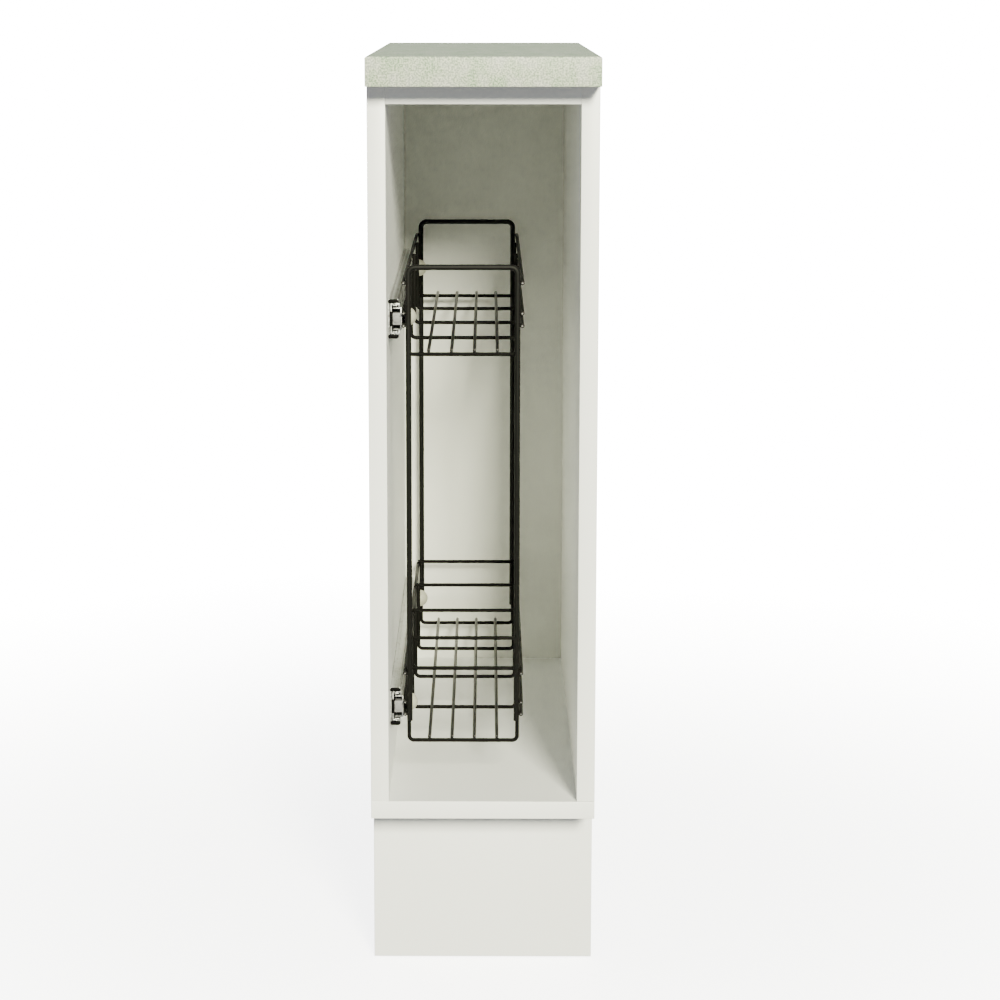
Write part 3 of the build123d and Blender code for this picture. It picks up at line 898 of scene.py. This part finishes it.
# %% [markdown]
# Screws have a low head with a round socket, and a thread that is drawn as rings of the right pitch.
# Most of them are hidden, and at this size rings look like a real winding and take one spin. The
# stretches of a screw are listed from the head to the tip.

# %% A screw
SCREW_STEPS = 32
SOCKET = 0.4
SOCKET_TAPER = 0.9
SOCKET_DEPTH = 0.7
DEEPEST_SOCKET = 0.0015
RIM_RADIUS = 0.85
RIM_HEIGHT = 0.4
CORE = 0.76
TIP_LENGTH = 0.0025


def screw(bm, head_at, toward, head, stretches, pitch):
    """head is (radius, height), and stretches are (radius, length, threaded) from the head on."""
    head_radius, head_height = head
    socket = head_radius * SOCKET
    depth = min(head_height * SOCKET_DEPTH, DEEPEST_SOCKET)
    profile = [(0, depth), (socket * SOCKET_TAPER, depth), (socket, 0)]
    profile += [(head_radius * RIM_RADIUS, 0), (head_radius, head_height * RIM_HEIGHT)]
    profile.append((head_radius, head_height))
    height = head_height
    for radius, length, threaded in stretches:
        end = height + length
        profile.append((radius, height))
        while threaded and height + 2 * pitch < end:
            height += pitch
            profile += [(radius * CORE, height - pitch / 2), (radius, height)]
        height = end
        if threaded:
            profile.append((radius * CORE, height - TIP_LENGTH))
        else:
            profile.append((radius, height))
    profile.append((0, height))
    turned(bm, profile, head_at, toward, SCREW_STEPS)


# %% [markdown]
# The places of the screws are read from the boxes of the solid ones, one head radius inside. The
# worktop screws go up through the middle of each rail, and the carcass screws, which have a plain
# shoulder under the head, go up through the bottom into the sides.

# %% Screws of the case
SMALL_HEAD = 0.004
SMALL_SHANK = 0.002
SMALL_PITCH = 0.0014
PAN_HEIGHT = 0.002
BIG_HEAD = (0.005, 0.003)
BIG_SHOULDER = (0.0035, 0.013)
BIG_SHANK = 0.0025
BIG_PITCH = 0.003

rails = (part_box("front_top_rail"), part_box("rear_top_rail"))
low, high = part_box("worktop_screws")
small_thread = [(SMALL_SHANK, high.z - low.z - PAN_HEIGHT, True)]
bm = bmesh.new()
for x in (low.x + SMALL_HEAD, high.x - SMALL_HEAD):
    for rail_low, rail_high in rails:
        head_at = Vector((x, (rail_low.y + rail_high.y) / 2, low.z))
        screw(bm, head_at, Z, (SMALL_HEAD, PAN_HEIGHT), small_thread, SMALL_PITCH)
close_turned(bm)
piece("worktop_fixings", bm, "cabinet", [screw_metal], ["worktop_screws"])

low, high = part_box("carcass_screws")
thread_length = high.z - low.z - (BIG_HEAD[1] + BIG_SHOULDER[1])
stretches = [(*BIG_SHOULDER, False), (BIG_SHANK, thread_length, True)]
bm = bmesh.new()
for x in (low.x + BIG_HEAD[0], high.x - BIG_HEAD[0]):
    for y in (low.y + BIG_HEAD[0], high.y - BIG_HEAD[0]):
        screw(bm, Vector((x, y, low.z)), Z, BIG_HEAD, stretches, BIG_PITCH)
close_turned(bm)
piece("carcass_fixings", bm, "cabinet", [screw_metal], ["carcass_screws"])

# %% [markdown]
# The slides are screwed to the left side with flat heads, which leave room for the middle channel.
# The clamp screws point the other way, from inside the inner channel into the discs.

# %% Screws of the slides
FLAT_HEIGHT = 0.0006

for level in LEVELS:
    for kind, body, toward, head_height in (
        ("slide_wall", "cabinet", -X, FLAT_HEIGHT),
        ("clamp", "pullout", X, PAN_HEIGHT),
    ):
        node = f"{level}_{kind}_screws"
        low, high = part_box(node)
        head_x = high.x if toward.x < 0 else low.x
        head = (SMALL_HEAD, head_height)
        small_thread = [(SMALL_SHANK, high.x - low.x - head_height, True)]
        bm = bmesh.new()
        for y in (low.y + SMALL_HEAD, high.y - SMALL_HEAD):
            head_at = Vector((head_x, y, (low.z + high.z) / 2))
            screw(bm, head_at, toward, head, small_thread, SMALL_PITCH)
        close_turned(bm)
        piece(f"{level}_{kind}_fixings", bm, body, [screw_metal], [node])

# %% [markdown]
# ## Legs and feet
#
# The base stands on four moulded legs. A leg is a plate with a round column under it, stiffened by
# four ribs, and a pin on top that goes into the bottom board. All four are one node, so their places
# are worked out from its box, half a plate inside.

# %% Measure the legs
PLATE_WIDTH = 0.056
PLATE_HEIGHT = 0.004
PIN_RADIUS = 0.005
PIN_HEIGHT = 0.012

legs_low, legs_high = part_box("legs")
plate_top = legs_high.z - PIN_HEIGHT
plate_bottom = plate_top - PLATE_HEIGHT
column_height = plate_bottom - legs_low.z
leg_xs = (legs_low.x + PLATE_WIDTH / 2, legs_high.x - PLATE_WIDTH / 2)
leg_ys = (legs_low.y + PLATE_WIDTH / 2, legs_high.y - PLATE_WIDTH / 2)
leg_places = [(x, y) for x in leg_xs for y in leg_ys]
print("legs at", [(round(x, 4), round(y, 4)) for x, y in leg_places])

# %% [markdown]
# A leg is one moulding, but one closed mesh would need booleans. Simple forms that sink into each
# other a little look the same, and no gap shows where they meet: the plates are cubes with rounded
# corners, the ribs extruded triangles, and column and pin are turned.

# %% Legs
PLATE_CORNER = 0.006
PLATE_CORNER_STEPS = 6
PLATE_EDGE = 0.0006
PLATE_EDGE_STEPS = 2
COLUMN_RADIUS = 0.015
COLUMN_EDGE = 0.0006
BORE_RADIUS = 0.0081
BORE_DEPTH = 0.082
PIN_EDGE = 0.0005
RIB_REACH = 0.025
RIB_DROP = 0.024
RIB_THICKNESS = 0.0024
SINK = 0.001


def leg_rib(bm, x, y, outward):
    """A triangle under the plate, extruded to a thickness."""
    aside = outward.cross(Z) * RIB_THICKNESS / 2
    root = Vector((x, y, plate_bottom)) + outward * (COLUMN_RADIUS - SINK)
    tip = Vector((x, y, plate_bottom)) + outward * RIB_REACH
    foot = root - Z * RIB_DROP
    corners = [bm.verts.new(p - aside) for p in (root + Z * SINK, tip + Z * SINK, foot)]
    side = bmesh.ops.extrude_face_region(bm, geom=[bm.faces.new(corners)])["geom"]
    moved = [g for g in side if isinstance(g, bmesh.types.BMVert)]
    bmesh.ops.translate(bm, verts=moved, vec=2 * aside)


bm = bmesh.new()
for x, y in leg_places:
    middle = Matrix.Translation((x, y, (plate_bottom + plate_top) / 2))
    size = Matrix.Diagonal((PLATE_WIDTH, PLATE_WIDTH, PLATE_HEIGHT, 1))
    bmesh.ops.create_cube(bm, size=1, matrix=middle @ size)
upright = [e for e in bm.edges if abs(e.verts[0].co.z - e.verts[1].co.z) > NEAR]
soften(bm, upright, PLATE_CORNER, PLATE_CORNER_STEPS)
soften(bm, sharp_edges(bm), PLATE_EDGE, PLATE_EDGE_STEPS)

column_top = column_height + SINK
column = [(0, BORE_DEPTH), (BORE_RADIUS, BORE_DEPTH), (BORE_RADIUS, 0)]
column += [(COLUMN_RADIUS, 0), (COLUMN_RADIUS, column_top), (0, column_top)]
pin = [(0, -SINK), (PIN_RADIUS, -SINK), (PIN_RADIUS, PIN_HEIGHT), (0, PIN_HEIGHT)]
for x, y in leg_places:
    for outward in (X, Y, -X, -Y):
        leg_rib(bm, x, y, outward)
    turned(bm, rounded(column, COLUMN_EDGE), Vector((x, y, legs_low.z)), Z)
    turned(bm, rounded(pin, PIN_EDGE), Vector((x, y, plate_top)), Z)
close_turned(bm)
piece("moulded_legs", bm, "cabinet", [black_plastic], ["legs"])

# %% [markdown]
# A foot screws into each column, so that the unit can be levelled. Its stem has a real winding: one
# pitch of thread profile is spun many times round and climbs a little with each step, so that every
# turn meets the one before. Rings would be simpler, but this thread is large enough to be seen.

# %% A climbing thread
STEM_ROOT = 0.0069
STEM_CREST = 0.008
STEM_PITCH = 0.003
STEM_STEPS = 32
FLANKS = ((STEM_ROOT, 0), (STEM_CREST, 0.3), (STEM_CREST, 0.5), (STEM_ROOT, 0.8), (STEM_ROOT, 1))


def thread(bm, place, length):
    """Flanks are (radius, part of a pitch). The ends of the winding are closed."""
    turns = int(length / STEM_PITCH) - 1
    verts = [bm.verts.new(place + Vector((radius, 0, part * STEM_PITCH))) for radius, part in FLANKS]
    edges = [bm.edges.new(pair) for pair in zip(verts, verts[1:])]
    bmesh.ops.spin(
        bm,
        geom=[*verts, *edges],
        cent=place,
        axis=Z,
        dvec=Z * STEM_PITCH / STEM_STEPS,
        angle=2 * pi * turns,
        steps=STEM_STEPS * turns,
        use_merge=False,
    )
    bmesh.ops.remove_doubles(bm, verts=bm.verts, dist=NEAR)
    bmesh.ops.holes_fill(bm, edges=[e for e in bm.edges if e.is_boundary], sides=0)


# %% [markdown]
# Under the stem there is a collar with six flats for a spanner, and a round disc that stands on the
# floor. The collar is a cone of six sides and equal ends, and the disc is turned.

# %% Levelling feet
FOOT_RADIUS = 0.023
FOOT_HEIGHT = 0.006
SOLE_INSET = 0.001
SOLE_HEIGHT = 0.0015
SHOULDER_INSET = 0.004
SHOULDER_HEIGHT = 0.0035
FOOT_CROWN = 0.0005
FOOT_EDGE = 0.0006
COLLAR_HEIGHT = 0.014
COLLAR_FLATS = 0.024
COLLAR_EDGE = 0.0008
COLLAR_EDGE_STEPS = 2
HALF_FLAT = pi / 6

stem_base = FOOT_HEIGHT + COLLAR_HEIGHT - STEM_PITCH
corner_radius = COLLAR_FLATS / 2 / cos(HALF_FLAT)
disc = [(0, 0), (FOOT_RADIUS - SOLE_INSET, 0), (FOOT_RADIUS, SOLE_HEIGHT)]
disc += [(FOOT_RADIUS, SHOULDER_HEIGHT), (FOOT_RADIUS - SHOULDER_INSET, FOOT_HEIGHT)]
disc.append((0, FOOT_HEIGHT + FOOT_CROWN))

for foot in ("front_left_foot", "front_right_foot", "rear_left_foot", "rear_right_foot"):
    low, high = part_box(foot)
    place = Vector(((low.x + high.x) / 2, (low.y + high.y) / 2, low.z))
    collar = Matrix.Translation(place + Z * (FOOT_HEIGHT + COLLAR_HEIGHT / 2))
    bm = bmesh.new()
    bmesh.ops.create_cone(
        bm,
        cap_ends=True,
        segments=6,
        radius1=corner_radius,
        radius2=corner_radius,
        depth=COLLAR_HEIGHT,
        matrix=collar @ Matrix.Rotation(HALF_FLAT, 4, "Z"),
    )
    soften(bm, sharp_edges(bm), COLLAR_EDGE, COLLAR_EDGE_STEPS)
    thread(bm, place + Z * stem_base, high.z - low.z - stem_base)
    turned(bm, rounded(disc, FOOT_EDGE), place, Z)
    close_turned(bm)
    piece(f"{foot}_screw", bm, foot, [black_plastic], [foot])

# %% [markdown]
# The dowels of the top rails stay hidden in their bores, so a new mesh would be wasted on them. They
# keep their solid and get a beech finish, with pores drawn out along the grain.

# %% Beech dowels
beech = grained_finish(
    "beech",
    (0.6, 0.42, 0.26),
    0.7,
    [(0.3, (0.48, 0.31, 0.18)), (0.7, (0.66, 0.48, 0.31))],
    height=0.00008,
    strength=0.5,
    kind="noise",
    grain=0.0007,
    stretch=(12, 1, 1),
    detail=4,
)
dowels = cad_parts["rail_dowels"]
dowels.data.materials.clear()
dowels.data.materials.append(beech)

# %% [markdown]
# ## Stage, light and camera
#
# The floor is plain and pale. It glows, and more so the farther it lies from the object, so the
# background turns white while a soft shadow stays at the foot of the case. The floor throws no light
# back on the object, because in the photograph the shade under the worktop is deep. A round backdrop
# far away, with the same finish, hides the horizon.

# %% Finish of the stage
FLOOR_GLOW = (5.0, 18.0)
FLOOR_GLOW_REACH = (0.2, 2.0)

floor_finish, floor_shader = new_finish("pale_floor", (0.93, 0.93, 0.92), 0.9)
floor_nodes, floor_links = floor_finish.node_tree.nodes, floor_finish.node_tree.links
floor_place = floor_nodes.new("ShaderNodeTexCoord")
floor_distance = floor_nodes.new("ShaderNodeVectorMath")
floor_distance.operation = "LENGTH"
floor_glow = floor_nodes.new("ShaderNodeMapRange")
floor_glow.interpolation_type = "SMOOTHSTEP"
floor_glow.inputs["From Min"].default_value = FLOOR_GLOW_REACH[0]
floor_glow.inputs["From Max"].default_value = FLOOR_GLOW_REACH[1]
floor_glow.inputs["To Min"].default_value = FLOOR_GLOW[0]
floor_glow.inputs["To Max"].default_value = FLOOR_GLOW[1]
floor_links.new(floor_place.outputs["Object"], floor_distance.inputs[0])
floor_links.new(floor_distance.outputs["Value"], floor_glow.inputs["Value"])
floor_links.new(floor_glow.outputs["Result"], floor_shader.inputs["Emission Strength"])
floor_shader.inputs["Emission Color"].default_value = (1, 1, 1, 1)
print("finish:", floor_finish.name)

# %% [markdown]
# Floor and backdrop are a disc and an open drum of the same radius. Both are hidden from bounced
# light and from reflections. The drum casts no shadow either, so the light of the sky comes in.

# %% Floor and backdrop
STAGE_RADIUS = 40.0
STAGE_HEIGHT = 40.0
STAGE_SIDES = 96


def stage_piece(name, bm):
    mesh = bpy.data.meshes.new(name)
    bm.to_mesh(mesh)
    bm.free()
    mesh.materials.append(floor_finish)
    made = bpy.data.objects.new(name, mesh)
    made.visible_diffuse = False
    made.visible_glossy = False
    bpy.context.scene.collection.objects.link(made)
    print(name, "faces:", len(mesh.polygons))
    return made


bm = bmesh.new()
bmesh.ops.create_circle(bm, cap_ends=True, segments=STAGE_SIDES, radius=STAGE_RADIUS)
stage_piece("floor", bm)

bm = bmesh.new()
bmesh.ops.create_cone(
    bm,
    cap_ends=False,
    segments=STAGE_SIDES,
    radius1=STAGE_RADIUS,
    radius2=STAGE_RADIUS,
    depth=2 * STAGE_HEIGHT,
)
backdrop = stage_piece("backdrop", bm)
backdrop.visible_shadow = False

# %% [markdown]
# The film-like AgX view holds the bright fronts below white. A dim sky gives some light from all
# round. What light comes into the case is thrown about between the white boards many times, so the
# bounces are raised.

# %% View and sky
BOUNCES = 16
SKY_COLOR = (0.985, 1.005, 1.03)
SKY_STRENGTH = 0.41

scene = bpy.context.scene
scene.view_settings.view_transform = "AgX"
scene.cycles.max_bounces = BOUNCES
scene.cycles.diffuse_bounces = BOUNCES

world = bpy.data.worlds.new("studio")
world.use_nodes = True
background = world.node_tree.nodes["Background"]
background.inputs["Color"].default_value = (*SKY_COLOR, 1)
background.inputs["Strength"].default_value = SKY_STRENGTH
scene.world = world
print("sky:", SKY_STRENGTH, "bounces:", BOUNCES)

# %% [markdown]
# One wide soft light stands far in front, to the right and above the worktop. The worktop shades the
# upper part of the inside, and the right side shades the right half of the back. A weak cool light
# overhead lifts the top of the worktop, which the far light only grazes, and another low behind the
# case keeps the views from the back readable. A sun could stand for the far light, but an area light
# has a place and a size, as a lamp in a studio has.

# %% Soft lights
def softbox(name, place, aim, size, energy, spread=pi, color=(1, 1, 1)):
    light = bpy.data.lights.new(name, "AREA")
    light.shape = "RECTANGLE"
    light.size, light.size_y = size
    light.energy = energy
    light.color = color
    light.spread = spread
    box = bpy.data.objects.new(name, light)
    box.location = place
    box.rotation_mode = "QUATERNION"
    box.rotation_quaternion = (Vector(aim) - Vector(place)).to_track_quat("-Z", "Y")
    scene.collection.objects.link(box)
    print("light:", name, energy, "W")


softbox(
    "key",
    place=(5.6, -25.25, 11.1),
    aim=(0, -0.25, 0.5),
    size=(5.0, 5.6),
    energy=29000,
    color=(1, 0.985, 0.755),
)
softbox(
    "overhead", place=(0, 0.6, 4.0), aim=(0, 0, 0.8), size=(2.0, 2.0), energy=31, color=(0.7, 1, 1.1)
)
softbox(
    "back_fill",
    place=(-2.8, 5.2, 0.6),
    aim=(0, 0.2, 0.45),
    size=(2.0, 0.4),
    energy=14,
    spread=radians(30),
)

# %% [markdown]
# The camera stands almost straight in front, a little above the worktop, and looks slightly down
# through a long lens. Its place and angles were fitted to the edges of the case in the photograph.
# The lens is shifted sideways a little, because the photograph seems to be cropped off its middle.

# %% Camera
CAMERA_PLACE = (0.0029, -2.6543, 0.8832)
CAMERA_PITCH = 0.1832
CAMERA_YAW = 0.0064
SENSOR = 36
FOCAL_LENGTH = 99.84
SIDE_SHIFT = 0.0311

lens = bpy.data.cameras.new("camera")
lens.sensor_width = SENSOR
lens.lens = FOCAL_LENGTH
lens.shift_x = SIDE_SHIFT
camera = bpy.data.objects.new("camera", lens)
camera.location = CAMERA_PLACE
camera.rotation_euler = (pi / 2 - CAMERA_PITCH, 0, CAMERA_YAW)
scene.collection.objects.link(camera)
scene.camera = camera
print("camera at", CAMERA_PLACE, "lens", FOCAL_LENGTH, "mm")
